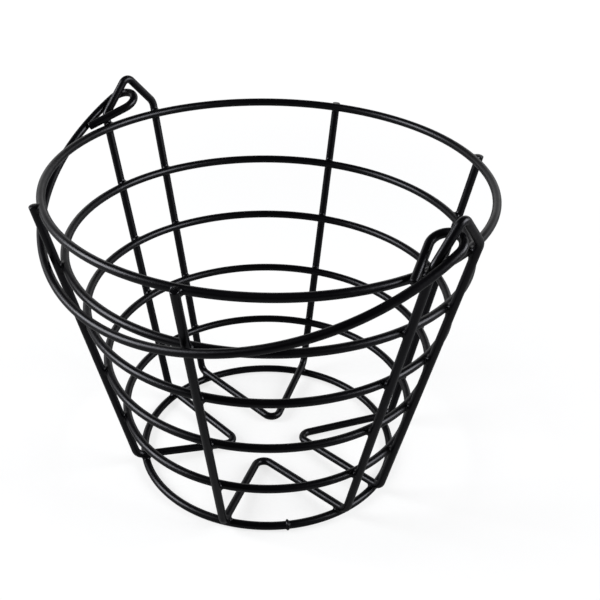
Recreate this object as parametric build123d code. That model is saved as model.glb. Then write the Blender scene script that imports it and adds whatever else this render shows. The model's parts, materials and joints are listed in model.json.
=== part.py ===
from build123d import *
import math
import os

# Wire egg basket: six round hoops on a cone, two long frame wires bent into
# uprights, floor fingers and carrying ears, and a swinging half-round bail.
#
# Frame: origin on the floor at the middle of the foot hoop, +Z up. +X runs
# through one ear, so the bail swings about a line along X. The bail is drawn
# folded down on the -Y side, lying against the uprights.

# ---------------------------------------------------------------- sizes (mm)
WIRE = 4.0                  # diameter of every wire with its coating
RIM_OUTSIDE = 210.0         # across the top hoop
FOOT_OUTSIDE = 135.0        # across the foot hoop
RIM_HEIGHT = 156.0          # floor to the top of the top hoop
HOOP_COUNT = 6              # hoops from the foot to the rim, evenly spaced
WELD_SINK = 0.6             # two wires press into each other at a spot weld

INNER_TOP_ANGLE = 8.1       # upright beside an ear, degrees from the ear, at the rim
INNER_FOOT_ANGLE = 10.2     # the same upright at the foot hoop
OUTER_TOP_ANGLE = 63.2      # upright with the free end, at the rim
OUTER_FOOT_ANGLE = 61.1     # the same upright at the foot hoop
FREE_END_RISE = 1.3         # cut end of the wire above the rim hoop's middle

FINGER_RADIUS = 19.2        # tip of a floor finger from the middle of the basket
FINGER_ANGLE = 52.5         # tip of a floor finger, degrees from the ear
FINGER_SAG = 2.7            # the tip hangs this far below the wire on the foot hoop
FOOT_BEND = 5.0             # bend radii of the wire's middle line
FINGER_BEND = 4.5
SHOULDER_BEND = 6.0
EAR_BEND = 3.5

SHOULDER_RISE = 5.0         # where the ear starts, above the rim hoop's middle
EAR_RISE = 20.2             # top of the ear, above the rim hoop's middle
EAR_STANDOFF = 4.6          # top of the ear, outside the rim hoop's middle

BAIL_PLAY = 0.7             # free space between the bail and the top of the ear
HINGE_PLAY = 2.8            # free space between the swing axis and the ear above it
HOOK_RADIUS = 7.0           # bend of the hook at each end of the bail
HOOK_PAST_HINGE = 0.2       # the bend reaches this far past the swing axis
HOOK_CLOSING = 21.5         # the hook's short leg closes back by this, degrees
HOOK_END_RISE = 1.8         # cut end of the hook above the rim hoop's middle, bail folded
REST_CLEARANCE = 0.65       # left between the folded bail and the uprights

FLASH_REACH = 0.8           # squeezed-out bead at the foot hoop's butt weld
FLASH_WIDTH = 1.5
FLASH_ANGLE = -35.0         # where that weld sits, degrees from the ear

# ------------------------------------------------------------ derived sizes
RIM_RADIUS = (RIM_OUTSIDE - WIRE) / 2
FOOT_RADIUS = (FOOT_OUTSIDE - WIRE) / 2
FOOT_LEVEL = WIRE / 2
RIM_LEVEL = RIM_HEIGHT - WIRE / 2
WALL_SLOPE = (RIM_RADIUS - FOOT_RADIUS) / (RIM_LEVEL - FOOT_LEVEL)
SEAT = WIRE - WELD_SINK
UPRIGHT_OFFSET = SEAT * math.hypot(1, WALL_SLOPE)
EAR_TOP_RADIUS = RIM_RADIUS + EAR_STANDOFF
EAR_TOP_LEVEL = RIM_LEVEL + EAR_RISE
HINGE_LEVEL = EAR_TOP_LEVEL - WIRE - HINGE_PLAY
BAIL_RADIUS = EAR_TOP_RADIUS + WIRE + BAIL_PLAY


def polar(radius, angle, level):
    """Point at a radius and an angle from the ear axis, at a height."""
    turn = math.radians(angle)
    return Vector(radius * math.cos(turn), radius * math.sin(turn), level)


def mirrored(point):
    """The same point on the other side of the ear's middle plane."""
    return Vector(point.X, -point.Y, point.Z)


def round_wire(path):
    """Solid wire with flat cut ends along a path of straight runs and arcs."""
    section = Plane(origin=path @ 0, z_dir=path % 0) * Circle(WIRE / 2)
    return sweep(section, path=path)


# -------------------------------------------------------------------- hoops
def hoop_size(index):
    """Radius and height of hoop 0 (foot) to HOOP_COUNT - 1 (rim)."""
    share = index / (HOOP_COUNT - 1)
    radius = FOOT_RADIUS + share * (RIM_RADIUS - FOOT_RADIUS)
    level = FOOT_LEVEL + share * (RIM_LEVEL - FOOT_LEVEL)
    return radius, level


def hoop(index):
    radius, level = hoop_size(index)
    return Pos(0, 0, level) * Torus(radius, WIRE / 2)


def flash_bead():
    """Bead that the butt weld squeezed out round the foot hoop's wire, flat at the floor."""
    place = Plane(
        origin=polar(FOOT_RADIUS, FLASH_ANGLE, FOOT_LEVEL),
        x_dir=polar(1, FLASH_ANGLE, 0),
        z_dir=polar(1, FLASH_ANGLE + 90, 0),
    )
    bead = Cylinder(WIRE / 2 + FLASH_REACH, FLASH_WIDTH)
    bead = chamfer(bead.edges().filter_by(GeomType.CIRCLE), FLASH_WIDTH / 3)
    above_floor = Box(RIM_OUTSIDE, RIM_OUTSIDE, RIM_HEIGHT, align=(Align.CENTER, Align.CENTER, Align.MIN))
    return (place * bead) & above_floor


# -------------------------------------------------------------- frame wires
def wall_point(angle, level):
    """Middle of an upright at a height; it leans with the hoops, outside them."""
    radius = FOOT_RADIUS + UPRIGHT_OFFSET + WALL_SLOPE * (level - FOOT_LEVEL)
    return polar(radius, angle, level)


def sharp_corner(before, tip, after, bend):
    """Corner between two straight runs whose rounded bend just reaches the tip."""
    corner = tip
    for _ in range(12):
        back = (before - corner).normalized()
        ahead = (after - corner).normalized()
        half = math.radians(back.get_angle(ahead) / 2)
        corner = tip - (back + ahead).normalized() * bend * (1 / math.sin(half) - 1)
    return corner


def finger_tip():
    """Middle of the wire at the rounded tip of a floor finger."""
    return polar(FINGER_RADIUS, FINGER_ANGLE, FOOT_LEVEL + SEAT - FINGER_SAG)


def foot_corner(angle):
    """Corner where an upright turns in, so that its finger seats on the foot hoop."""
    ride = FOOT_LEVEL + SEAT
    corner = wall_point(angle, ride)
    run = Vector(corner.X, corner.Y, 0) - Vector(finger_tip().X, finger_tip().Y, 0)
    overhang = UPRIGHT_OFFSET + WALL_SLOPE * SEAT
    rise = FINGER_SAG * overhang / (run.length - overhang)
    return wall_point(angle, ride + rise)


def shoulder_corner():
    """Corner where the upright's line turns in towards the top of the ear."""
    foot = foot_corner(INNER_FOOT_ANGLE)
    rim = wall_point(INNER_TOP_ANGLE, RIM_LEVEL)
    reach = (RIM_LEVEL + SHOULDER_RISE - foot.Z) / (rim.Z - foot.Z)
    return foot + (rim - foot) * reach


def frame_wire():
    """One wire: free end, upright, finger, upright, ear, and the same way back."""
    outer_foot = foot_corner(OUTER_FOOT_ANGLE)
    inner_foot = foot_corner(INNER_FOOT_ANGLE)
    shoulder = shoulder_corner()
    ear_tip = Vector(EAR_TOP_RADIUS, 0, EAR_TOP_LEVEL)
    top = sharp_corner(shoulder, ear_tip, mirrored(shoulder), EAR_BEND)
    finger = sharp_corner(outer_foot, finger_tip(), inner_foot, FINGER_BEND)
    free_end = wall_point(OUTER_TOP_ANGLE, RIM_LEVEL + FREE_END_RISE)
    side = [free_end, outer_foot, finger, inner_foot, shoulder]
    bends = [FOOT_BEND, FINGER_BEND, FOOT_BEND, SHOULDER_BEND]
    corners = side + [top] + [mirrored(point) for point in reversed(side)]
    radii = bends + [EAR_BEND] + bends[::-1]
    wire = round_wire(FilletPolyline(*corners, radius=radii))
    for index in range(HOOP_COUNT):
        wire = wire - hoop(index)
    return wire


# --------------------------------------------------------------------- bail
def bail_plane(fold):
    """Plane of the bail, through the swing axis: X across, Y away from the axis."""
    turn = math.radians(fold)
    return Plane(origin=(0, 0, HINGE_LEVEL), x_dir=(1, 0, 0), z_dir=(0, math.sin(turn), -math.cos(turn)))


def bow_gap(fold):
    """Free space between the folded bow and the nearest hoop or outer upright."""
    bow = bail_plane(fold) * CenterArc((0, 0), BAIL_RADIUS, 0, 180)
    foot = foot_corner(OUTER_FOOT_ANGLE)
    rim = wall_point(OUTER_TOP_ANGLE, RIM_LEVEL)
    lines = [Line(mirrored(foot), mirrored(rim))]
    for index in range(HOOP_COUNT):
        radius, level = hoop_size(index)
        lines.append(Pos(0, 0, level) * CenterArc((0, 0), radius, 180, 180))
    return min(bow.distance_to(line) for line in lines) - WIRE


def fold_angle():
    """The bail drops until its bow lies against the uprights."""
    open_angle = 0.0
    shut_angle = 60.0
    for _ in range(20):
        middle = (open_angle + shut_angle) / 2
        if bow_gap(middle) > REST_CLEARANCE:
            open_angle = middle
        else:
            shut_angle = middle
    return open_angle


def bail(fold):
    """Half-round bow with a hook at each end, all in the plane of the fold."""
    bend_along = HOOK_RADIUS - HOOK_PAST_HINGE
    bend_across = math.sqrt((BAIL_RADIUS - HOOK_RADIUS) ** 2 - bend_along**2)
    start = math.degrees(math.atan2(bend_along, bend_across))
    swept = 180 + HOOK_CLOSING + start
    closing = math.radians(HOOK_CLOSING)
    leg_across = bend_across - HOOK_RADIUS * math.cos(closing)
    leg_along = bend_along + HOOK_RADIUS * math.sin(closing)
    end_drop = HINGE_LEVEL - RIM_LEVEL - HOOK_END_RISE
    end_along = max(end_drop / math.sin(math.radians(fold)), leg_along + WIRE)
    end_across = leg_across + (end_along - leg_along) * math.tan(closing)
    path = Wire(
        [
            Line((end_across, end_along), (leg_across, leg_along)),
            CenterArc((bend_across, bend_along), HOOK_RADIUS, 180 - HOOK_CLOSING, swept),
            CenterArc((0, 0), BAIL_RADIUS, start, 180 - 2 * start),
            CenterArc((-bend_across, bend_along), HOOK_RADIUS, 180 - start, swept),
            Line((-leg_across, leg_along), (-end_across, end_along)),
        ]
    )
    return bail_plane(fold) * round_wire(path)


# -------------------------------------------------------------------- files
def save(name, shape):
    shape.label = name
    export_step(shape, f"parts/{name}.step")


def hoop_name(index):
    if index == 0:
        return "foot_hoop"
    if index == HOOP_COUNT - 1:
        return "rim_hoop"
    return f"hoop_{HOOP_COUNT - index}"


os.makedirs("parts", exist_ok=True)
for index in range(HOOP_COUNT):
    piece = hoop(index)
    if index == 0:
        piece = piece + flash_bead()
    save(hoop_name(index), piece)

right_frame = frame_wire()
save("frame_wire_right", right_frame)
save("frame_wire_left", Rot(0, 0, 180) * right_frame)

folded = fold_angle()
print(f"bail folds {folded:.2f} degrees below level, so it swings {180 + 2 * folded:.2f} degrees")
save("bail", bail(folded))
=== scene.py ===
# %% [markdown]
# # A coated wire egg basket
#
# The basket is nine wires: six hoops, two long frame wires that are bent into uprights,
# floor fingers and ears, and a half-round bail that swings in the ears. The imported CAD
# model is loaded as a fixed frame, and every length below is in metres in that frame.
# The CAD wires are bare round bars. Here each one is made again with what the coating
# bath adds: soft fillets where wires cross, rounded cut ends, the lump of a butt weld
# and a black skin with a faint orange peel.

# %% Load the frame
import bpy
import json
import numpy as np
from mathutils import Matrix, Vector


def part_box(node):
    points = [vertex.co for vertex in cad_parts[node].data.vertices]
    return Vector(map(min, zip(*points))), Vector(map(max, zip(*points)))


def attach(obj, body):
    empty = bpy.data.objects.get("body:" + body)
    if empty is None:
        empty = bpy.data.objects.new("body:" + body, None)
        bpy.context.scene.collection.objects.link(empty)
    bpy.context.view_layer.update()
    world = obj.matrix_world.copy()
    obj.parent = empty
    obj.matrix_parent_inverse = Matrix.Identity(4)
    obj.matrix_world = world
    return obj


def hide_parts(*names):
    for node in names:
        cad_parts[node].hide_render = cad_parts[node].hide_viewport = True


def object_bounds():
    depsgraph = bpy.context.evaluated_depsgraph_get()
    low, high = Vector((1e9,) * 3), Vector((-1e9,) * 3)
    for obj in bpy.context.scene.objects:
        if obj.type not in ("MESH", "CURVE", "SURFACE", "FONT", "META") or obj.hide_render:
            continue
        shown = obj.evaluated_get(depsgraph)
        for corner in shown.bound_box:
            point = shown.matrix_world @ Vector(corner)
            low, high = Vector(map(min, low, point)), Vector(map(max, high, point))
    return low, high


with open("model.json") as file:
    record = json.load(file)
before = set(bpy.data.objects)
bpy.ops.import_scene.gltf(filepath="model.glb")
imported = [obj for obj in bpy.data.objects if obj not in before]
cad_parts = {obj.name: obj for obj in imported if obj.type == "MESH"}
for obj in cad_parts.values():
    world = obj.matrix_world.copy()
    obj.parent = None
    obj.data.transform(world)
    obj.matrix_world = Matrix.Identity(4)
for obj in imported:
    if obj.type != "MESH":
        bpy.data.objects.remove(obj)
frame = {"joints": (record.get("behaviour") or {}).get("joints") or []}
cad_low, cad_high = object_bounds()
MM = 0.001
print("CAD box in mm:", [round((b - a) / MM, 1) for a, b in zip(cad_low, cad_high)])

# %% [markdown]
# ## Sizes that the frame already holds
#
# A hoop is a ring of round wire, so its box tells everything: the box is one wire thick,
# and half its width less half a wire is the ring's radius. Reading these from the frame
# keeps the dressed basket true to the CAD when a size changes there.

# %% Hoops measured from their boxes
HOOPS = ["foot_hoop", "hoop_5", "hoop_4", "hoop_3", "hoop_2", "rim_hoop"]


def box(node):
    """Lowest and highest corner of a CAD node as numpy arrays."""
    low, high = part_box(node)
    return np.array(low), np.array(high)


low, high = box("rim_hoop")
WIRE = high[2] - low[2]
hoop_radius = []
hoop_level = []
for name in HOOPS:
    low, high = box(name)
    hoop_radius.append((high[1] - low[1] - WIRE) / 2)
    hoop_level.append(low[2] + WIRE / 2)
foot_radius, rim_radius = hoop_radius[0], hoop_radius[-1]
foot_level, rim_level = hoop_level[0], hoop_level[-1]
print(f"wire {WIRE / MM:.2f} mm, foot ring {foot_radius / MM:.1f}, rim ring {rim_radius / MM:.1f}")

# %% [markdown]
# ## The camera
#
# The basket is seen from above one side of its folded bail. A camera is easiest to set
# as a photographer would do it: a point to look at, a distance, a heading, a height in
# degrees and a slight tilt of the camera in the hand. Three Euler angles would do it too,
# but they are hard to read. The rotation matrix here is three unit vectors, right, up and
# backwards, written as its columns.

# %% Set the camera
LOOK_AT = (10.73 * MM, 10.66 * MM, 90.37 * MM)
DISTANCE = 491.97 * MM
HEADING = 44.118
HEIGHT = 31.465
TILT = 1.739
LENS = 59.83
NEAREST, FURTHEST = 0.01, 50


def unit(vectors):
    """Vectors divided by their lengths, along the last axis."""
    vectors = np.asarray(vectors, float)
    return vectors / np.linalg.norm(vectors, axis=-1, keepdims=True)


def direction(heading, height):
    """Unit vector at a heading from the front and a height above level, in degrees:
    (sin heading cos height, -cos heading cos height, sin height)."""
    turn, rise = np.radians([heading, height])
    return np.array([np.sin(turn) * np.cos(rise), -np.cos(turn) * np.cos(rise), np.sin(rise)])


def set_camera():
    """Camera at LOOK_AT plus DISTANCE times the backward direction."""
    back = direction(HEADING, HEIGHT)
    roll = np.radians(TILT)
    level = unit(np.cross((0, 0, 1), back))
    upward = np.cross(back, level)
    right = np.cos(roll) * level + np.sin(roll) * upward
    up = np.cross(back, right)
    data = bpy.data.cameras.new("camera")
    data.lens = LENS
    data.clip_start, data.clip_end = NEAREST, FURTHEST
    camera = bpy.data.objects.new("camera", data)
    bpy.context.scene.collection.objects.link(camera)
    place = np.eye(4)
    place[:3, :3] = np.stack([right, up, back], axis=1)
    place[:3, 3] = np.array(LOOK_AT) + DISTANCE * back
    camera.matrix_world = Matrix(place.tolist())
    bpy.context.scene.camera = camera
    print("camera stands at", np.round(place[:3, 3] / MM, 1), "mm")


set_camera()

# %% [markdown]
# ## A bent wire is a chain of pieces with constant curvature
#
# A wire bender only ever does two things: it feeds straight wire, and it bends wire round
# a pin. A Bezier curve could follow such a wire, but its bends are never true arcs. So each
# middle line here is a short table, one row for each run or bend, with the point and
# direction where the row starts, the axis it bends about and its curvature, which is zero
# on a straight run. Any point on the wire then has a closed formula, and thousands of
# points are found at once with arrays.

# %% Walking along a run or a bend


def turned(vectors, axis, angle):
    """Vectors turned about a unit axis: v cos + (axis x v) sin + axis (axis.v) (1 - cos)."""
    cosine = np.cos(angle)[..., None]
    sine = np.sin(angle)[..., None]
    along = np.sum(axis * vectors, axis=-1, keepdims=True)
    return vectors * cosine + np.cross(axis, vectors) * sine + axis * along * (1 - cosine)


def walk(row, length):
    """Point, direction and side vector after a length of a row with constant curvature.

    Forward goes sin(kL) / k and sideways (1 - cos(kL)) / k. Both are written with the
    sinc function, so that a straight row, where k is zero, needs no case of its own.
    """
    start, heading, side, axis, curve = row
    angle = curve * length
    forward = length * np.sinc(angle / np.pi)
    sideways = length * angle / 2 * np.sinc(angle / 2 / np.pi) ** 2
    point = start + forward[..., None] * heading + sideways[..., None] * np.cross(axis, heading)
    return point, turned(heading, axis, angle), turned(side, axis, angle)


def chain(start, heading, pieces, closed=False):
    """Middle line made of pieces (length, curvature, axis), as a table of arrays."""
    start = np.asarray(start, float)
    heading = unit(heading)
    side = unit(np.cross(heading, pieces[0][2]))
    rows = []
    for length, curve, axis in pieces:
        axis = unit(axis)
        rows.append((start, heading, side, axis, curve, length))
        start, heading, side = walk(rows[-1][:5], np.asarray(length))
    names = ["start", "heading", "side", "axis", "curve", "length"]
    line = {name: np.array([row[i] for row in rows]) for i, name in enumerate(names)}
    line["station"] = np.concatenate([[0], np.cumsum(line["length"])])
    line["closed"] = closed
    return line


def row_at(line, station):
    """Number of the row that holds each distance along a line."""
    last = len(line["length"]) - 1
    return np.clip(np.searchsorted(line["station"], station, side="right") - 1, 0, last)


def along(line, station):
    """Points, directions and side vectors at distances along a line."""
    row = row_at(line, station)
    picked = [line[name][row] for name in ("start", "heading", "side", "axis", "curve")]
    return walk(picked, station - line["station"][row])


quarter = chain((0, 0, 0), (1, 0, 0), [(np.pi / 2, 1, (0, 0, 1))])
corner, _, _ = along(quarter, quarter["station"][-1:])
print("a quarter turn of radius 1 ends at", np.round(corner[0], 3))

# %% [markdown]
# ## Middle lines of the hoops and the frame wires
#
# A hoop is one row of curvature 1 / radius. A frame wire is known by its corners, as on
# a bending drawing: free end, upright, floor finger, upright, ear, and back the same way.
# The bend of radius r at a corner that turns by an angle t starts r tan(t / 2) before
# the corner, which is all that is needed to turn corners and radii into rows.

# %% A hoop


def hoop_line(radius, level):
    """Circle round the basket's axis: angle a gives (R cos a, R sin a, level)."""
    start = (radius, 0, level)
    return chain(start, (0, 1, 0), [(2 * np.pi * radius, 1 / radius, (0, 0, 1))], closed=True)


hoop_lines = [hoop_line(radius, level) for radius, level in zip(hoop_radius, hoop_level)]
print("hoop radii in mm:", [round(radius / MM, 1) for radius in hoop_radius])

# %% Corners and bend radii made into a chain


def bent_line(corners, radii):
    """Runs between corners, with an arc of the given radius at each inner corner."""
    corners = np.asarray(corners, float)
    radii = np.asarray(radii, float)
    steps = np.diff(corners, axis=0)
    runs = np.linalg.norm(steps, axis=1)
    headings = unit(steps)
    axes = unit(np.cross(headings[:-1], headings[1:]))
    turns = np.arccos(np.clip(np.sum(headings[:-1] * headings[1:], axis=1), -1, 1))
    cuts = radii * np.tan(turns / 2)
    straight = runs - np.concatenate([[0], cuts]) - np.concatenate([cuts, [0]])
    pieces = [(straight[0], 0, axes[0])]
    for i in range(len(radii)):
        pieces.append((radii[i] * turns[i], 1 / radii[i], axes[i]))
        pieces.append((straight[i + 1], 0, axes[i]))
    return chain(corners[0], headings[0], pieces)


# %% [markdown]
# The two frame wires carry the hoops: the uprights stand outside them, welded where they
# cross, and the floor fingers lie over the foot hoop. The angles are the basket maker's
# choices. Radii and heights could be typed in as well, but they follow from the hoops, the
# wire's thickness and the small depth by which two wires sink into each other at a spot
# weld, so they are worked out.

# %% Sizes of a frame wire
WELD_SINK = 0.6 * MM
INNER_TOP, INNER_FOOT = 8.1, 10.2
OUTER_TOP, OUTER_FOOT = 63.2, 61.1
FREE_END_RISE = 1.3 * MM
FINGER_RADIUS, FINGER_ANGLE, FINGER_SAG = 19.2 * MM, 52.5, 2.7 * MM
SHOULDER_RISE = 5.0 * MM
FOOT_BEND, FINGER_BEND, SHOULDER_BEND, EAR_BEND = 5.0 * MM, 4.5 * MM, 6.0 * MM, 3.5 * MM
CORNER_ROUNDS = 12

seat = WIRE - WELD_SINK
wall_slope = (rim_radius - foot_radius) / (rim_level - foot_level)
upright_offset = seat * np.hypot(1, wall_slope)
low, high = box("frame_wire_right")
ear_top_level = high[2] - WIRE / 2
ear_top_radius = high[0] - WIRE / 2
print(f"wall slope {wall_slope:.3f}, ears {ear_top_level / MM:.1f} mm up")


def polar(radius, angle, level):
    """Point at a radius and an angle in degrees round the basket's axis."""
    turn = np.radians(angle)
    return np.array([radius * np.cos(turn), radius * np.sin(turn), level])


def wall_point(angle, level):
    """Middle of an upright: its radius grows with the height as the hoops' does."""
    return polar(foot_radius + upright_offset + wall_slope * (level - foot_level), angle, level)


def sharp_corner(before, tip, after, bend):
    """Corner whose rounded bend just reaches the tip.

    It lies r (1 / sin h - 1) further out, where h is half the angle between the two runs.
    A few rounds settle it, as h depends on the corner a little.
    """
    corner = tip
    for _ in range(CORNER_ROUNDS):
        back = unit(before - corner)
        ahead = unit(after - corner)
        half = np.arccos(np.clip(back @ ahead, -1, 1)) / 2
        corner = tip - unit(back + ahead) * bend * (1 / np.sin(half) - 1)
    return corner


# %% The frame wire from end to end
MIRROR = np.array([1, -1, 1])
HALF_TURN = np.array([-1, -1, 1])


def foot_corner(angle, tip):
    """Corner of upright and finger, raised so that the sagging finger seats on the hoop."""
    ride = foot_level + seat
    reach = np.linalg.norm((wall_point(angle, ride) - tip)[:2])
    overhang = upright_offset + wall_slope * seat
    return wall_point(angle, ride + FINGER_SAG * overhang / (reach - overhang))


def frame_line():
    """Middle line of the right-hand frame wire, symmetrical about its ear."""
    tip = polar(FINGER_RADIUS, FINGER_ANGLE, foot_level + seat - FINGER_SAG)
    outer_foot = foot_corner(OUTER_FOOT, tip)
    inner_foot = foot_corner(INNER_FOOT, tip)
    rim = wall_point(INNER_TOP, rim_level)
    reach = (rim_level + SHOULDER_RISE - inner_foot[2]) / (rim[2] - inner_foot[2])
    shoulder = inner_foot + (rim - inner_foot) * reach
    ear_tip = np.array([ear_top_radius, 0, ear_top_level])
    top = sharp_corner(shoulder, ear_tip, shoulder * MIRROR, EAR_BEND)
    finger = sharp_corner(outer_foot, tip, inner_foot, FINGER_BEND)
    free_end = wall_point(OUTER_TOP, rim_level + FREE_END_RISE)
    side = [free_end, outer_foot, finger, inner_foot, shoulder]
    bends = [FOOT_BEND, FINGER_BEND, FOOT_BEND, SHOULDER_BEND]
    corners = side + [top] + [corner * MIRROR for corner in reversed(side)]
    return bent_line(corners, bends + [EAR_BEND] + bends[::-1])


def half_turned(line):
    """The same line on the other side of the basket: x and y change sign."""
    other = dict(line)
    for name in ("start", "heading", "side", "axis"):
        other[name] = line[name] * HALF_TURN
    return other


right_line = frame_line()
left_line = half_turned(right_line)
print(f"each frame wire is {right_line['station'][-1] / MM:.0f} mm of wire, with 9 bends")

# %% [markdown]
# ## The bail's middle line
#
# The bail is bent flat, so all its rows share one axis. From a cut end it runs up the
# short leg, round the hook, along the half circle and the same way back. It lies in a
# plane through the swing line, folded some degrees below level. The frame knows the
# swing line, and the folded bail's box gives the fold: the bow's far side is one radius
# from the swing line, so the sine of the fold is its drop over that radius.

# %% The bail from end to end
HOOK_RADIUS = 7.0 * MM
HOOK_PAST_HINGE = 0.2 * MM
HOOK_CLOSING = 21.5
HOOK_END_RISE = 1.8 * MM

bail_joint = next(joint for joint in frame["joints"] if joint["name"] == "bail_swing")
hinge_level = bail_joint["pos_m"][2]
low, high = box("bail")
hook_reach = (high[0] - low[0]) / 2 - WIRE / 2
bail_radius = HOOK_RADIUS + np.hypot(hook_reach - HOOK_RADIUS, HOOK_RADIUS - HOOK_PAST_HINGE)
bail_drop = hinge_level - (low[2] + WIRE / 2)
bail_fold = np.arcsin(bail_drop / bail_radius)


def bail_line():
    """Rows of the bail: leg, hook, bow, hook, leg, all turning the same way."""
    bend_along = HOOK_RADIUS - HOOK_PAST_HINGE
    bend_across = np.sqrt((bail_radius - HOOK_RADIUS) ** 2 - bend_along**2)
    start = np.arctan2(bend_along, bend_across)
    closing = np.radians(HOOK_CLOSING)
    hook = np.pi + closing + start
    leg_across = bend_across - HOOK_RADIUS * np.cos(closing)
    leg_along = bend_along + HOOK_RADIUS * np.sin(closing)
    end_drop = hinge_level - rim_level - HOOK_END_RISE
    end_along = max(end_drop / np.sin(bail_fold), leg_along + WIRE)
    leg = (end_along - leg_along) / np.cos(closing)
    across = np.array([1.0, 0, 0])
    away = np.array([0, -np.cos(bail_fold), -np.sin(bail_fold)])
    end = across * (leg_across + leg * np.sin(closing)) + away * end_along
    hinge = np.array([0, 0, hinge_level])
    heading = -across * np.sin(closing) - away * np.cos(closing)
    axis = np.cross(across, away)
    hook_row = (HOOK_RADIUS * hook, 1 / HOOK_RADIUS, axis)
    bow_row = (bail_radius * (np.pi - 2 * start), 1 / bail_radius, axis)
    leg_row = (leg, 0, axis)
    return chain(hinge + end, heading, [leg_row, hook_row, bow_row, hook_row, leg_row])


swing_line = bail_line()
print(f"bail: {swing_line['station'][-1] / MM:.0f} mm of wire")
print(f"bail folded {np.degrees(bail_fold):.1f} degrees below level")

# %% [markdown]
# ## Where to put the rings
#
# A tube is a stack of rings along the line. Rings set evenly would be too coarse in the
# tight bends and pools, or wastefully fine on the long runs. So the wanted spacing is
# written as a function of the place: small near another wire, a few degrees of turn in a
# bend, wide elsewhere. Its inverse is the density of rings. Adding the density up along
# the line and reading the sum backwards at whole numbers gives the places of the rings.
# The first helper measures how far any point is from another wire's middle line.

# %% Distance to a line
END_CUT = 1.6 * MM


def distance_to(line, points):
    """Distance from each point to a middle line, the smallest over its rows.

    On a run the nearest point is the projection, kept between the ends. On a bend it is
    the point of the circle in the same direction from its centre, kept inside the arc.
    """
    best = np.full(points.shape[:-1], np.inf)
    for start, heading, axis, curve, length in zip(
        line["start"], line["heading"], line["axis"], line["curve"], line["length"]
    ):
        if curve == 0:
            reach = np.clip((points - start) @ heading, 0, length)
            nearest = start + reach[..., None] * heading
        else:
            inward = np.cross(axis, heading)
            centre = start + inward / curve
            local = points - centre
            half = curve * length / 2
            angle = np.arctan2(local @ heading, local @ -inward) - half
            angle = half + np.clip((angle + np.pi) % (2 * np.pi) - np.pi, -half, half)
            spoke = np.sin(angle)[..., None] * heading - np.cos(angle)[..., None] * inward
            nearest = centre + spoke / curve
        best = np.minimum(best, np.linalg.norm(points - nearest, axis=-1))
    return best


def drawn_back(line):
    """An open line without the last END_CUT of both its end runs.

    distance_to closes a line's ends with half balls. Drawn back, the ball stays inside
    the square-cut wire, and no coating climbs past the cut. Only distance_to reads the
    result, so its stations aren't renewed.
    """
    start, length = line["start"].copy(), line["length"].copy()
    start[0] += END_CUT * line["heading"][0]
    length[[0, -1]] -= END_CUT
    return {**line, "start": start, "length": length}


gap = distance_to(right_line, polar(rim_radius, INNER_TOP, rim_level)[None])[0]
print(f"rim and upright are {gap / MM:.2f} mm apart, middle to middle")

# %% Ring places
FINE = 0.32 * MM
WIDE = 2.2 * MM
TURN_STEP = np.radians(6)
NEAR, FAR = 5.0 * MM, 11.0 * MM
PROBE_STEP = 0.1 * MM
LEAST_CURVE = 1e-6


def ring_places(line, others):
    """Stations of the rings: the running sum of 1 / spacing, read at equal steps."""
    total = line["station"][-1]
    station = np.linspace(0, total, int(total / PROBE_STEP))
    points, _, _ = along(line, station)
    curve = np.maximum(line["curve"][row_at(line, station)], LEAST_CURVE)
    spacing = np.minimum(WIDE, TURN_STEP / curve)
    for other in others:
        gap = distance_to(other, points)
        spacing = np.minimum(spacing, np.interp(gap, [NEAR, FAR], [FINE, WIDE]))
    density = 1 / spacing
    added = (density[1:] + density[:-1]) / 2 * np.diff(station)
    count = np.concatenate([[0], np.cumsum(added)])
    rings = int(np.ceil(count[-1])) + 1
    places = np.interp(np.linspace(0, count[-1], rings), count, station)
    return places[:-1] if line["closed"] else places


print("rings on a frame wire, bare:", len(ring_places(right_line, [])))

# %% [markdown]
# ## Rounded cut ends
#
# The wire is cut square, and the coating draws back from the sharp edge into a small
# quarter round, with a slight dome over the face. A Bevel modifier could round the edge,
# but not dome the face. An end is therefore a few more rings whose radius shrinks: on the
# quarter round the distance and the radius go with the cosine and the sine of one angle,
# and on the face the dome is a shallow parabola.

# %% Ring list with ends
EDGE = 0.55 * MM
DOME = 0.16 * MM
EDGE_CLEAR = 1.3 * EDGE
EDGE_RINGS = 7
FACE_RINGS = 5


def end_profile():
    """Distance from the cut and radius, from the middle of the face to the full wire."""
    core = WIRE / 2 - EDGE
    face_radius = core * np.linspace(0, 1, FACE_RINGS + 1)[1:]
    face_depth = -DOME * (1 - (face_radius / core) ** 2)
    angle = np.linspace(0, np.pi / 2, EDGE_RINGS + 1)[1:]
    edge_radius = core + EDGE * np.sin(angle)
    edge_depth = EDGE * (1 - np.cos(angle))
    return np.concatenate([face_depth, edge_depth]), np.concatenate([face_radius, edge_radius])


def rings_with_ends(line, others):
    """Stations and radii of all rings of a wire with two cut ends."""
    depth, radius = end_profile()
    total = line["station"][-1]
    places = ring_places(line, others)
    inner = places[(places > EDGE_CLEAR) & (places < total - EDGE_CLEAR)]
    station = np.concatenate([depth, inner, total - depth[::-1]])
    radii = np.concatenate([radius, np.full(len(inner), WIRE / 2), radius[::-1]])
    return station, radii


print("a cut end has", len(end_profile()[0]), "rings of its own")

# %% [markdown]
# ## Coating that pools where wires cross
#
# Where two wires touch, the wet coating fills the valley between them. In terms of
# distance a and b from the two bare wires, the bare surface is where the smaller of them
# is zero. Taking away a little where a and b are nearly equal lifts the surface into the
# valley: a smooth union. A Boolean modifier with a bevel could round the valley as well,
# but it would weld the wires into one mesh with ragged faces. Here each point of a tube is
# moved out along its normal until the union is zero, all points at once, by stepping as
# far as the union still is below zero.

# %% Smooth union of the wires
POOL = 1.7 * MM
POOL_REACH = 3 * POOL
POOL_STEPS = 14
FADE_FROM = 0.3


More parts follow.
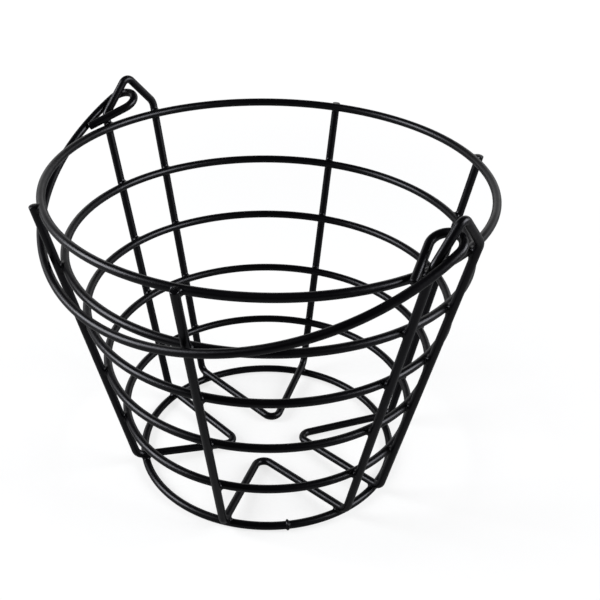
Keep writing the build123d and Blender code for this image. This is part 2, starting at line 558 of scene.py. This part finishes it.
def pooled_height(points, normals, bare, others):
    """Height of the coating over a bare wire's surface points, in metres.

    union(a, b) = min(a, b) - max(POOL - |a - b|, 0)^2 / (4 POOL), where a is the height
    over this wire and b the distance to the surface of the nearest other wire. On a cut
    end, where bare falls from 1 to 0 as the ring shrinks, a smooth step fades it out.
    """
    height = np.zeros(points.shape[:-1])
    near = np.zeros(points.shape[:-1], bool)
    for other in others:
        near |= distance_to(other, points) < WIRE / 2 + POOL_REACH
    spots, outward = points[near], normals[near]
    rise = np.zeros(len(spots))
    for _ in range(POOL_STEPS):
        here = spots + rise[:, None] * outward
        b = np.full(len(spots), np.inf)
        for other in others:
            b = np.minimum(b, distance_to(other, here) - WIRE / 2)
        overlap = np.maximum(POOL - np.abs(rise - b), 0)
        union = np.minimum(rise, b) - overlap**2 / (4 * POOL)
        rise = np.clip(rise - union, 0, POOL)
    height[near] = rise
    fade = np.clip((bare - FADE_FROM) / (1 - FADE_FROM), 0, 1)
    return height * fade**2 * (3 - 2 * fade)


print(f"in a valley, midway between two wires, the coating is {POOL / 4 / MM:.2f} mm thick")

# %% [markdown]
# ## The tube itself
#
# A curve with a round bevel would draw a plain tube at once, but no single point of it
# could be moved for a pool or a weld. With stations, radii and pools known, the surface is
# a function of two parameters: the station s along the line and the angle a round it. The
# point is the line's point plus the radius times (cos a side + sin a up), where side and
# up are two unit vectors square to the line. Faces join each ring to the next, and a fan
# closes each end on a single point, so that the mesh is watertight.

# %% Points of a tube
AROUND = 28


def tube_points(line, station, radii, others, lump=None):
    """Grid of points, one row for each ring, with coating pools and an optional weld lump."""
    middle, heading, side = along(line, station)
    up = np.cross(heading, side)
    angle = np.linspace(0, 2 * np.pi, AROUND, endpoint=False)
    cosine, sine = np.cos(angle)[None, :, None], np.sin(angle)[None, :, None]
    spokes = cosine * side[:, None] + sine * up[:, None]
    grid = middle[:, None] + radii[:, None, None] * spokes
    bare = np.repeat((radii / (WIRE / 2))[:, None], AROUND, axis=1)
    grid = grid + pooled_height(grid, spokes, bare, others)[..., None] * spokes
    if lump is not None:
        grid = grid + lump(station[:, None], angle[None, :])[..., None] * spokes
    return grid


# %% Faces of a tube


def tube_faces(rings, closed):
    """Quads between neighbouring rings, as an array of four indices each."""
    ring = np.arange(rings if closed else rings - 1)[:, None]
    step = np.arange(AROUND)[None, :]
    ahead = (ring + 1) % rings
    beside = (step + 1) % AROUND
    here, there = ring * AROUND, ahead * AROUND
    quads = [here + step, here + beside, there + beside, there + step]
    return np.stack(np.broadcast_arrays(*quads), axis=-1).reshape(-1, 4)


def with_poles(line, points):
    """Points with a pole over the middle of each cut face, and the two fans of triangles."""
    ends, headings, _ = along(line, np.array([0, line["station"][-1]]))
    poles = ends + headings * np.array([[-DOME], [DOME]])
    first, last = len(points), len(points) + 1
    step = np.arange(AROUND)
    beside = (step + 1) % AROUND
    base = len(points) - AROUND
    start_fan = np.stack([np.full(AROUND, first), beside, step], axis=1)
    end_fan = np.stack([np.full(AROUND, last), base + step, base + beside], axis=1)
    return np.concatenate([points, poles]), np.concatenate([start_fan, end_fan])


print("faces between two rings:", len(tube_faces(2, closed=False)))

# %% Points and faces made into a mesh


def outward_volume(points, quads, fans):
    """Signed volume from the corner triple products, positive if faces point outwards."""
    triangles = np.concatenate([quads[:, [0, 1, 2]], quads[:, [0, 2, 3]], fans])
    a, b, c = (points[triangles[:, i]] for i in range(3))
    return np.sum(a * np.cross(b, c)) / 6


def wire_object(name, line, others, lump=None, lump_spot=()):
    """A closed smooth mesh object of one coated wire."""
    if line["closed"]:
        station = ring_places(line, [*others, *lump_spot])
        radii = np.full(len(station), WIRE / 2)
    else:
        station, radii = rings_with_ends(line, others)
    grid = tube_points(line, station, radii, others, lump)
    points = grid.reshape(-1, 3)
    quads = tube_faces(len(station), line["closed"])
    fans = np.zeros((0, 3), int)
    if not line["closed"]:
        points, fans = with_poles(line, points)
    points[:, 2] = np.maximum(points[:, 2], 0)  # the weld lump is flat on the floor
    if outward_volume(points, quads, fans) < 0:
        quads, fans = quads[:, ::-1], fans[:, ::-1]
    mesh = bpy.data.meshes.new(name)
    mesh.from_pydata(points.tolist(), [], quads.tolist() + fans.tolist())
    mesh.polygons.foreach_set("use_smooth", np.ones(len(mesh.polygons), bool))
    mesh.update()
    piece = bpy.data.objects.new(name, mesh)
    bpy.context.scene.collection.objects.link(piece)
    volume = abs(outward_volume(points, quads, fans)) / MM**3
    triangles = 2 * len(quads) + len(fans)
    print(f"{name}: {len(station)} rings, {triangles} triangles, {volume:.0f} mm3")
    return piece


# %% [markdown]
# ## The butt weld on the foot hoop
#
# Each hoop is a cut length of wire, bent round and butt welded. On the foot hoop the weld
# squeezed out a ring of metal that nobody ground off. A thin torus round the wire could
# stand for it, but it would show a crease that the coating hides. So it is a lump added to
# the wire's own radius: a steep bell curve along the wire, a little uneven round it.

# %% Weld lump
WELD_ANGLE = -35.0
WELD_REACH = 0.8 * MM
WELD_WIDTH = 0.62 * MM
WELD_WAVE, WELD_WAVES, WELD_PHASE = 0.1, 3, 0.6


def weld_lump(station, angle):
    """Extra radius: reach x exp(-(distance / width)^4) x a slow wave round the wire."""
    place = np.radians(WELD_ANGLE % 360) * foot_radius
    bell = np.exp(-(((station - place) / WELD_WIDTH) ** 4))
    wave = 1 - WELD_WAVE + WELD_WAVE * np.cos(WELD_WAVES * angle + WELD_PHASE)
    return WELD_REACH * bell * wave


weld_spot = polar(foot_radius, WELD_ANGLE, foot_level)
weld_line = chain(weld_spot, (0, 0, 1), [(WIRE / 2, 0, (1, 0, 0))])
print("weld lump stands at", np.round(weld_spot / MM, 1), "mm")

# %% [markdown]
# ## Make the nine wires
#
# Hoops pool coating against the frame wires, and frame wires against the hoops. For the
# hoops, the frame wires are drawn back a little from their free ends, where the rim is
# welded, so that the pool ends at the cut. The bail hangs loose after coating, so nothing
# pools on it. Each wire takes the place of its CAD node and rides on that node's body, so
# that the bail still swings.

# %% Build, ride and replace
frame_lines = [drawn_back(right_line), drawn_back(left_line)]
wires = {}


def dress(node, line, others, body, lump=None, lump_spot=()):
    """One coated wire that stands for its CAD node."""
    piece = wire_object("coated_" + node, line, others, lump, lump_spot)
    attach(piece, body)
    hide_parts(node)
    wires[node] = piece


dress(HOOPS[0], hoop_lines[0], frame_lines, "basket", weld_lump, [weld_line])
for name, line in zip(HOOPS[1:], hoop_lines[1:]):
    dress(name, line, frame_lines, "basket")
dress("frame_wire_right", right_line, hoop_lines, "basket")
dress("frame_wire_left", left_line, hoop_lines, "basket")
dress("bail", swing_line, [], "bail")

# %% [markdown]
# ## Black dip coating
#
# The finish is a thick black skin, half glossy. One flat black would look like a cut-out,
# and a painted texture would show a seam. The skin is nearly black all over, so its
# look is in the gloss: a faint orange peel breaks the highlight, and slow patches of
# roughness dull it here and there, where the skin is a touch lighter too. All of this is
# noise read from Object coordinates, so it stays on the wire when the bail swings.

# %% Coating material
COAT_DARK = (0.0002, 0.0002, 0.0007, 1)
COAT_LIGHT = (0.0014, 0.0012, 0.0018, 1)
COAT_GLINT = (0.93, 0.93, 1.0, 1)
GLINT_LEVEL = 0.25
SMOOTH_PATCH, DULL_PATCH = 0.27, 0.37
PATCH_LOW, PATCH_HIGH = 0.3, 0.7
PATCH_SCALE, WAVE_SCALE, PEEL_SCALE = 45.0, 160.0, 900.0
WAVE_DEPTH, PEEL_DEPTH = 0.12 * MM, 0.04 * MM
MIX_DARK, MIX_LIGHT, MIX_RESULT = 6, 7, 2  # the colour sockets of a Mix node, by number


def shader_node(tree, kind, at, **values):
    """A shader node with some of its inputs or properties set."""
    made = tree.nodes.new(kind)
    made.location = at
    for key, value in values.items():
        name = key.replace("_", " ")
        socket = made.inputs.get(name)
        if socket is None:
            setattr(made, key, value)
        else:
            socket.default_value = value
    return made


def coating_material():
    """Principled shader with noise in its colour, roughness and bump."""
    material = bpy.data.materials.new("black_coating")
    material.use_nodes = True
    tree = material.node_tree
    tree.nodes.clear()
    link = tree.links.new
    place = shader_node(tree, "ShaderNodeTexCoord", (-1200, 0))
    out = shader_node(tree, "ShaderNodeOutputMaterial", (500, 0))
    skin = shader_node(tree, "ShaderNodeBsdfPrincipled", (200, 0), Specular_IOR_Level=GLINT_LEVEL)
    skin.inputs["Specular Tint"].default_value = COAT_GLINT
    link(skin.outputs["BSDF"], out.inputs["Surface"])

    noise = "ShaderNodeTexNoise"
    patches = shader_node(tree, noise, (-900, 300), Scale=PATCH_SCALE, Detail=3.0, Roughness=0.55)
    tint = shader_node(tree, "ShaderNodeMix", (-300, 300), data_type="RGBA")
    tint.inputs[MIX_DARK].default_value = COAT_DARK
    tint.inputs[MIX_LIGHT].default_value = COAT_LIGHT
    link(place.outputs["Object"], patches.inputs["Vector"])
    link(patches.outputs["Fac"], tint.inputs[0])
    link(tint.outputs[MIX_RESULT], skin.inputs["Base Color"])

    gloss = shader_node(tree, "ShaderNodeMapRange", (-300, 0), From_Min=PATCH_LOW,
                        From_Max=PATCH_HIGH, To_Min=SMOOTH_PATCH, To_Max=DULL_PATCH)
    link(patches.outputs["Fac"], gloss.inputs["Value"])
    link(gloss.outputs["Result"], skin.inputs["Roughness"])

    peel = shader_node(tree, noise, (-900, -300), Scale=PEEL_SCALE, Detail=2.0, Roughness=0.4)
    waves = shader_node(tree, noise, (-900, -550), Scale=WAVE_SCALE, Detail=1.0, Roughness=0.4)
    fine = shader_node(tree, "ShaderNodeBump", (-100, -300), Strength=0.5, Distance=PEEL_DEPTH)
    broad = shader_node(tree, "ShaderNodeBump", (-400, -550), Strength=0.5, Distance=WAVE_DEPTH)
    link(place.outputs["Object"], peel.inputs["Vector"])
    link(place.outputs["Object"], waves.inputs["Vector"])
    link(waves.outputs["Fac"], broad.inputs["Height"])
    link(peel.outputs["Fac"], fine.inputs["Height"])
    link(broad.outputs["Normal"], fine.inputs["Normal"])
    link(fine.outputs["Normal"], skin.inputs["Normal"])
    return material


coating = coating_material()
for piece in wires.values():
    piece.data.materials.append(coating)
print(f"{len(wires)} wires coated, with {len(coating.node_tree.nodes)} nodes in the finish")

# %% [markdown]
# ## Floor, background and lamps
#
# The basket stands on a plain white sheet. The camera sees a world of strength one, which
# is white, while the light that the world gives is only a dim grey. The floor glows for
# the camera and takes the rest of its white from the lamps, so it stays white and still
# keeps a soft shadow. Further out, where the lamps hardly reach, it glows more.
#
# The gloss of a black wire shows nothing but its surroundings, so those are set as in a
# studio: a white backdrop stands behind the basket, the room is dark over it and on the
# camera's side, and the sheet is dimmer than the camera sees it. With white all round,
# every wire would turn grey. Cards and black cloths could be built as real pieces, but
# they would stand in the way of other views, so the world's shader draws them.

# %% Who sees the white


def seen_directly(tree, at):
    """One for camera, glossy and transmission rays, and nought for the light that is given."""
    path = shader_node(tree, "ShaderNodeLightPath", at)
    first = shader_node(tree, "ShaderNodeMath", (at[0] + 200, at[1]), operation="MAXIMUM")
    second = shader_node(tree, "ShaderNodeMath", (at[0] + 400, at[1]), operation="MAXIMUM")
    tree.links.new(path.outputs["Is Camera Ray"], first.inputs[0])
    tree.links.new(path.outputs["Is Glossy Ray"], first.inputs[1])
    tree.links.new(first.outputs[0], second.inputs[0])
    tree.links.new(path.outputs["Is Transmission Ray"], second.inputs[1])
    return second.outputs[0]


# %% World
AMBIENT = 0.05
BACKDROP_LEAN = 16
SKY_LOW = 0
SKY_HIGH = 22
CEILING = 0.04


def white_world():
    """World that is white to the camera and lights dimly.

    Glossy rays see a white backdrop that ends in a dark room. The edge is a plane that
    leans by BACKDROP_LEAN degrees, so the backdrop is high behind the basket and low on
    the camera's side: strength = smooth step of (direction . normal of the plane), from
    the sines of SKY_LOW to SKY_HIGH.
    """
    world = bpy.data.worlds.new("studio")
    bpy.context.scene.world = world
    world.use_nodes = True
    tree = world.node_tree
    tree.nodes.clear()
    dim = shader_node(tree, "ShaderNodeBackground", (0, 150), Color=(1, 1, 1, 1), Strength=AMBIENT)
    white = shader_node(tree, "ShaderNodeBackground", (0, -50), Color=(1, 1, 1, 1))
    place = shader_node(tree, "ShaderNodeTexCoord", (-900, -250))
    over = shader_node(tree, "ShaderNodeVectorMath", (-700, -250), operation="DOT_PRODUCT")
    over.inputs[1].default_value = direction(HEADING, 90 - BACKDROP_LEAN)
    low, high = np.sin(np.radians([SKY_LOW, SKY_HIGH]))
    fade = shader_node(tree, "ShaderNodeMapRange", (-450, -250), interpolation_type="SMOOTHSTEP",
                       From_Min=low, From_Max=high, To_Min=1.0, To_Max=CEILING)
    tree.links.new(place.outputs["Generated"], over.inputs[0])
    tree.links.new(over.outputs["Value"], fade.inputs["Value"])
    path = shader_node(tree, "ShaderNodeLightPath", (-450, -550))
    shown = shader_node(tree, "ShaderNodeMath", (-200, -300), operation="MAXIMUM")
    tree.links.new(fade.outputs["Result"], shown.inputs[0])
    tree.links.new(path.outputs["Is Camera Ray"], shown.inputs[1])
    tree.links.new(shown.outputs[0], white.inputs["Strength"])
    choose = shader_node(tree, "ShaderNodeMixShader", (250, 50))
    out = shader_node(tree, "ShaderNodeOutputWorld", (450, 50))
    tree.links.new(seen_directly(tree, (-700, 0)), choose.inputs[0])
    tree.links.new(dim.outputs[0], choose.inputs[1])
    tree.links.new(white.outputs[0], choose.inputs[2])
    tree.links.new(choose.outputs[0], out.inputs["Surface"])


white_world()
print(f"the world gives {AMBIENT} of white as light")

# %% Floor
FLOOR_GLOW, FAR_GLOW = 0.76, 1.0
GLOW_NEAR, GLOW_FAR = 0.25, 1.1
MIRRORED_GLOW = 0.08
FLOOR_SHARE = 0.25
FLOOR_HALF = 12.0


def white_floor():
    """A wide square under the basket, part glowing and part lit.

    Where the lamps hardly reach, it glows more for the camera: the strength goes from
    FLOOR_GLOW to FAR_GLOW as the distance from the middle goes from GLOW_NEAR to GLOW_FAR.
    For glossy and transmission rays it is MIRRORED_GLOW.
    """
    half = FLOOR_HALF
    corners = [(-half, -half, 0), (half, -half, 0), (half, half, 0), (-half, half, 0)]
    mesh = bpy.data.meshes.new("floor")
    mesh.from_pydata(corners, [], [(0, 1, 2, 3)])
    floor = bpy.data.objects.new("floor", mesh)
    bpy.context.scene.collection.objects.link(floor)
    material = bpy.data.materials.new("white_sheet")
    material.use_nodes = True
    tree = material.node_tree
    tree.nodes.clear()
    lit = shader_node(tree, "ShaderNodeBsdfDiffuse", (0, 150), Color=(*[FLOOR_SHARE] * 3, 1))
    glow = shader_node(tree, "ShaderNodeEmission", (0, -50), Color=(1, 1, 1, 1))
    place = shader_node(tree, "ShaderNodeTexCoord", (-900, -300))
    apart = shader_node(tree, "ShaderNodeVectorMath", (-700, -300), operation="LENGTH")
    rise = shader_node(tree, "ShaderNodeMapRange", (-450, -300), interpolation_type="SMOOTHSTEP",
                       From_Min=GLOW_NEAR, From_Max=GLOW_FAR, To_Min=FLOOR_GLOW, To_Max=FAR_GLOW)
    tree.links.new(place.outputs["Object"], apart.inputs[0])
    tree.links.new(apart.outputs["Value"], rise.inputs["Value"])
    level = shader_node(tree, "ShaderNodeMath", (-150, -150), operation="MULTIPLY")
    path = shader_node(tree, "ShaderNodeLightPath", (-450, -600))
    shown = shader_node(tree, "ShaderNodeMapRange", (-250, -400), To_Min=MIRRORED_GLOW)
    tree.links.new(path.outputs["Is Camera Ray"], shown.inputs["Value"])
    tree.links.new(rise.outputs["Result"], shown.inputs["To Max"])
    tree.links.new(shown.outputs["Result"], level.inputs[1])
    both = shader_node(tree, "ShaderNodeAddShader", (250, 50))
    out = shader_node(tree, "ShaderNodeOutputMaterial", (450, 50))
    tree.links.new(seen_directly(tree, (-800, 0)), level.inputs[0])
    tree.links.new(level.outputs[0], glow.inputs["Strength"])
    tree.links.new(lit.outputs[0], both.inputs[0])
    tree.links.new(glow.outputs[0], both.inputs[1])
    tree.links.new(both.outputs[0], out.inputs["Surface"])
    mesh.materials.append(material)


white_floor()
print(f"the floor is {2 * FLOOR_HALF:.0f} m wide")

# %% [markdown]
# A round wire mirrors a lamp as a streak along its length, only where it lies square to
# the direction halfway between lamp and camera. Two soft boxes stand on the left and on
# the right of the camera's line of sight, 28 degrees up. They draw the streaks along both
# flanks of each hoop, leave its front and back dark, and keep the shadow soft.

# %% Lamps
LAMP_HEIGHT = 28
LAMP_DISTANCE = 1.2
LAMP_TALL = 0.6
LAMP_TINT = (0.97, 0.98, 1.0)


def soft_box(name, heading, width, power):
    """Rectangular lamp that looks at the middle of the basket from a heading."""
    back = direction(heading, LAMP_HEIGHT)
    data = bpy.data.lights.new(name, "AREA")
    data.shape = "RECTANGLE"
    data.size = width
    data.size_y = LAMP_TALL
    data.energy = power
    data.color = LAMP_TINT
    lamp = bpy.data.objects.new(name, data)
    bpy.context.scene.collection.objects.link(lamp)
    middle = np.array([0, 0, (cad_low[2] + cad_high[2]) / 2])
    lamp.location = Vector(middle + back * LAMP_DISTANCE)
    lamp.rotation_mode = "QUATERNION"
    lamp.rotation_quaternion = Vector(-back).to_track_quat("-Z", "Y")
    print(f"{name}: {power} W, {width} by {LAMP_TALL} m")


soft_box("key_left", HEADING - 86, width=0.6, power=17)
soft_box("key_right", HEADING + 82, width=0.8, power=16)

bpy.context.scene.view_settings.view_transform = "Standard"
